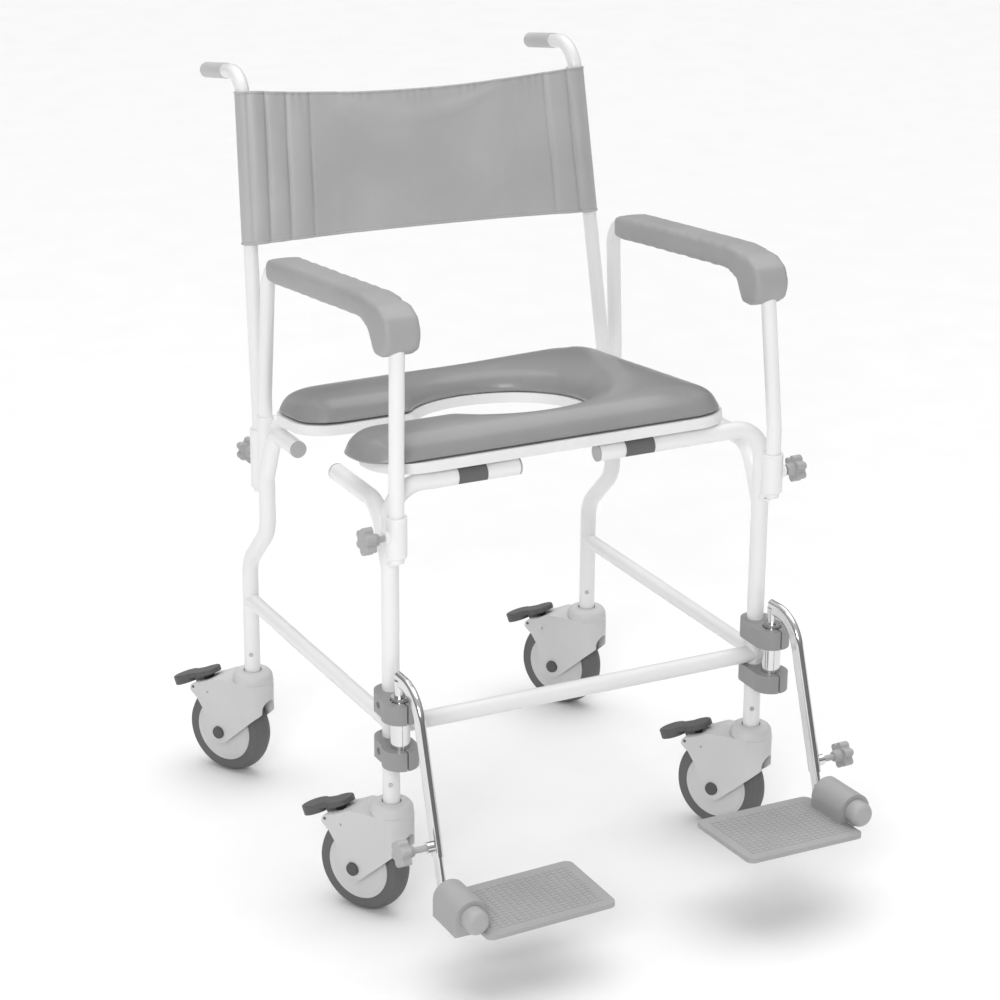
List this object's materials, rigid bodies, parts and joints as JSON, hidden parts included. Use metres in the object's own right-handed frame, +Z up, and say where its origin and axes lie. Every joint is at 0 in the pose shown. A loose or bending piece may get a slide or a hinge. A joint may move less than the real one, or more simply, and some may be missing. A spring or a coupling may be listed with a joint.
{
  "type": "commode chair",
  "caption": "Wheeled commode and shower chair: white tube frame, braked castors, horseshoe padded seat, sling back, plug-in armrests and swing-away footrests.",
  "frame": {"origin": "on the floor, under the middle of the chair between its two sides and between the footplates and the push handles", "axes": "+Z up, -Y the way the sitter faces, +X to the sitter's left"},
  "size_m": [0.6626, 0.8836, 0.9825],
  "materials": {
    "band_rubber": "dark grey rubber",
    "cap_plastic": "grey moulded plastic",
    "castor_plastic": "moulded light grey nylon, satin",
    "chrome": "bright plated steel",
    "clamp_plastic": "mid grey nylon",
    "cushion_vinyl": "grey vinyl over foam, satin",
    "footplate_plastic": "textured grey plastic",
    "frame_paint": "off-white powder coat, gloss",
    "grip_rubber": "light grey rubber",
    "knob_plastic": "mid grey moulded plastic, satin",
    "pad_foam": "grey skinned foam, soft satin",
    "pedal_plastic": "dark grey moulded plastic",
    "seat_plastic": "white moulded plastic",
    "sling_vinyl": "grey coated fabric, satin",
    "steel": "zinc-plated steel",
    "tyre": "grey non-marking rubber, matt"
  },
  "bodies": {
    "frame": {"front_leg_left": "frame_paint", "front_leg_right": "frame_paint", "rear_leg_left": "frame_paint", "rear_leg_right": "frame_paint", "side_stubs": "frame_paint", "front_crossbar": "frame_paint", "side_bars": "frame_paint", "rear_crossbar": "frame_paint", "armrest_sockets": "frame_paint", "backrest_sockets": "frame_paint", "stub_end_caps": "cap_plastic", "seat_bands": "band_rubber", "castor_fixings": "steel", "footrest_clamps": "clamp_plastic", "clamp_screws": "steel", "footrest_pivot_tubes": "chrome"},
    "castor_front_left": {"castor_fork_front_left": "castor_plastic", "castor_axle_front_left": "steel"},
    "wheel_front_left": {"castor_hub_front_left": "castor_plastic", "castor_tyre_front_left": "tyre"},
    "pedal_front_left": {"brake_pedal_front_left": "pedal_plastic"},
    "castor_front_right": {"castor_fork_front_right": "castor_plastic", "castor_axle_front_right": "steel"},
    "wheel_front_right": {"castor_hub_front_right": "castor_plastic", "castor_tyre_front_right": "tyre"},
    "pedal_front_right": {"brake_pedal_front_right": "pedal_plastic"},
    "castor_rear_left": {"castor_fork_rear_left": "castor_plastic", "castor_axle_rear_left": "steel"},
    "wheel_rear_left": {"castor_hub_rear_left": "castor_plastic", "castor_tyre_rear_left": "tyre"},
    "pedal_rear_left": {"brake_pedal_rear_left": "pedal_plastic"},
    "castor_rear_right": {"castor_fork_rear_right": "castor_plastic", "castor_axle_rear_right": "steel"},
    "wheel_rear_right": {"castor_hub_rear_right": "castor_plastic", "castor_tyre_rear_right": "tyre"},
    "pedal_rear_right": {"brake_pedal_rear_right": "pedal_plastic"},
    "armrest_left": {"armrest_tube_left": "frame_paint", "armrest_pad_left": "pad_foam"},
    "armrest_knob_left": {"armrest_knob_left": "knob_plastic"},
    "armrest_right": {"armrest_tube_right": "frame_paint", "armrest_pad_right": "pad_foam"},
    "armrest_knob_right": {"armrest_knob_right": "knob_plastic"},
    "backrest": {"backrest_tube_left": "frame_paint", "backrest_tube_right": "frame_paint", "push_handle_grips": "grip_rubber", "backrest_sling": "sling_vinyl"},
    "backrest_knob_left": {"backrest_knob_left": "knob_plastic"},
    "backrest_knob_right": {"backrest_knob_right": "knob_plastic"},
    "seat": {"seat_plate": "seat_plastic", "seat_cushion": "cushion_vinyl"},
    "footrest_left": {"footrest_hanger_left": "chrome"},
    "footrest_stem_left": {"footrest_stem_left": "chrome", "footplate_end_cap_left": "cap_plastic"},
    "footplate_left": {"footplate_left": "footplate_plastic"},
    "footrest_knob_left": {"footrest_knob_left": "knob_plastic"},
    "footrest_right": {"footrest_hanger_right": "chrome"},
    "footrest_stem_right": {"footrest_stem_right": "chrome", "footplate_end_cap_right": "cap_plastic"},
    "footplate_right": {"footplate_right": "footplate_plastic"},
    "footrest_knob_right": {"footrest_knob_right": "knob_plastic"}
  },
  "joints": [
    {"name": "castor_swivel_front_left", "type": "hinge", "parent": "frame", "child": "castor_front_left", "pos_m": [-0.261, -0.175, 0.14], "axis": [0, 0, 1], "continuous": true},
    {"name": "wheel_spin_front_left", "type": "hinge", "parent": "castor_front_left", "child": "wheel_front_left", "pos_m": [-0.2815, -0.13949, 0.0625], "axis": [-0.866, -0.5, 0], "continuous": true},
    {"name": "brake_pedal_tilt_front_left", "type": "hinge", "parent": "castor_front_left", "child": "pedal_front_left", "pos_m": [-0.303, -0.10225, 0.121], "axis": [0.866, 0.5, 0], "range_deg": [0, 8]},
    {"name": "castor_swivel_front_right", "type": "hinge", "parent": "frame", "child": "castor_front_right", "pos_m": [0.261, -0.175, 0.14], "axis": [0, 0, 1], "continuous": true},
    {"name": "wheel_spin_front_right", "type": "hinge", "parent": "castor_front_right", "child": "wheel_front_right", "pos_m": [0.2405, -0.13949, 0.0625], "axis": [-0.866, -0.5, 0], "continuous": true},
    {"name": "brake_pedal_tilt_front_right", "type": "hinge", "parent": "castor_front_right", "child": "pedal_front_right", "pos_m": [0.219, -0.10225, 0.121], "axis": [0.866, 0.5, 0], "range_deg": [0, 8]},
    {"name": "castor_swivel_rear_left", "type": "hinge", "parent": "frame", "child": "castor_rear_left", "pos_m": [-0.261, 0.279, 0.14], "axis": [0, 0, 1], "continuous": true},
    {"name": "wheel_spin_rear_left", "type": "hinge", "parent": "castor_rear_left", "child": "wheel_rear_left", "pos_m": [-0.2815, 0.31451, 0.0625], "axis": [-0.866, -0.5, 0], "continuous": true},
    {"name": "brake_pedal_tilt_rear_left", "type": "hinge", "parent": "castor_rear_left", "child": "pedal_rear_left", "pos_m": [-0.303, 0.35175, 0.121], "axis": [0.866, 0.5, 0], "range_deg": [0, 8]},
    {"name": "castor_swivel_rear_right", "type": "hinge", "parent": "frame", "child": "castor_rear_right", "pos_m": [0.261, 0.279, 0.14], "axis": [0, 0, 1], "continuous": true},
    {"name": "wheel_spin_rear_right", "type": "hinge", "parent": "castor_rear_right", "child": "wheel_rear_right", "pos_m": [0.2405, 0.31451, 0.0625], "axis": [-0.866, -0.5, 0], "continuous": true},
    {"name": "brake_pedal_tilt_rear_right", "type": "hinge", "parent": "castor_rear_right", "child": "pedal_rear_right", "pos_m": [0.219, 0.35175, 0.121], "axis": [0.866, 0.5, 0], "range_deg": [0, 8]},
    {"name": "armrest_slide_left", "type": "slide", "parent": "frame", "child": "armrest_left", "axis": [0, 0, 1], "range_m": [0, 0.04]},
    {"name": "armrest_knob_turn_left", "type": "hinge", "parent": "frame", "child": "armrest_knob_left", "pos_m": [-0.263, -0.199, 0.517], "axis": [-1, 0, 0], "continuous": true},
    {"name": "armrest_slide_right", "type": "slide", "parent": "frame", "child": "armrest_right", "axis": [0, 0, 1], "range_m": [0, 0.04]},
    {"name": "armrest_knob_turn_right", "type": "hinge", "parent": "frame", "child": "armrest_knob_right", "pos_m": [0.263, -0.199, 0.517], "axis": [1, 0, 0], "continuous": true},
    {"name": "backrest_slide", "type": "slide", "parent": "frame", "child": "backrest", "axis": [0, 0, 1], "range_m": [0, 0.06]},
    {"name": "backrest_knob_turn_left", "type": "hinge", "parent": "frame", "child": "backrest_knob_left", "pos_m": [-0.26, 0.2356, 0.478], "axis": [0, 1, 0], "continuous": true},
    {"name": "backrest_knob_turn_right", "type": "hinge", "parent": "frame", "child": "backrest_knob_right", "pos_m": [0.26, 0.2356, 0.478], "axis": [0, 1, 0], "continuous": true},
    {"name": "seat_lift", "type": "slide", "parent": "frame", "child": "seat", "axis": [0, 0, 1], "range_m": [0, 0.05]},
    {"name": "footrest_swing_left", "type": "hinge", "parent": "frame", "child": "footrest_left", "pos_m": [-0.265, -0.21, 0.28], "axis": [0, 0, 1], "range_deg": [-90, 0]},
    {"name": "footrest_height_left", "type": "slide", "parent": "footrest_left", "child": "footrest_stem_left", "axis": [0, 0.3026, 0.9531], "range_m": [-0.03, 0.03]},
    {"name": "footplate_flip_left", "type": "hinge", "parent": "footrest_stem_left", "child": "footplate_left", "pos_m": [-0.265, -0.36806, 0.108], "axis": [0, -1, 0], "range_deg": [0, 88]},
    {"name": "footrest_knob_turn_left", "type": "hinge", "parent": "footrest_left", "child": "footrest_knob_left", "pos_m": [-0.265, -0.31207, 0.15839], "axis": [-1, 0, 0], "continuous": true},
    {"name": "footrest_swing_right", "type": "hinge", "parent": "frame", "child": "footrest_right", "pos_m": [0.265, -0.21, 0.28], "axis": [0, 0, 1], "range_deg": [-3, 87]},
    {"name": "footrest_height_right", "type": "slide", "parent": "footrest_right", "child": "footrest_stem_right", "axis": [-0.0164, 0.3021, 0.9531], "range_m": [-0.05, 0.01]},
    {"name": "footplate_flip_right", "type": "hinge", "parent": "footrest_stem_right", "child": "footplate_right", "pos_m": [0.27321, -0.36165, 0.1275], "axis": [-0.0541, 0.9985, 0], "range_deg": [0, 88]},
    {"name": "footrest_knob_turn_right", "type": "hinge", "parent": "footrest_right", "child": "footrest_knob_right", "pos_m": [0.27052, -0.31192, 0.15839], "axis": [0.9985, 0.0541, 0], "continuous": true}
  ]
}
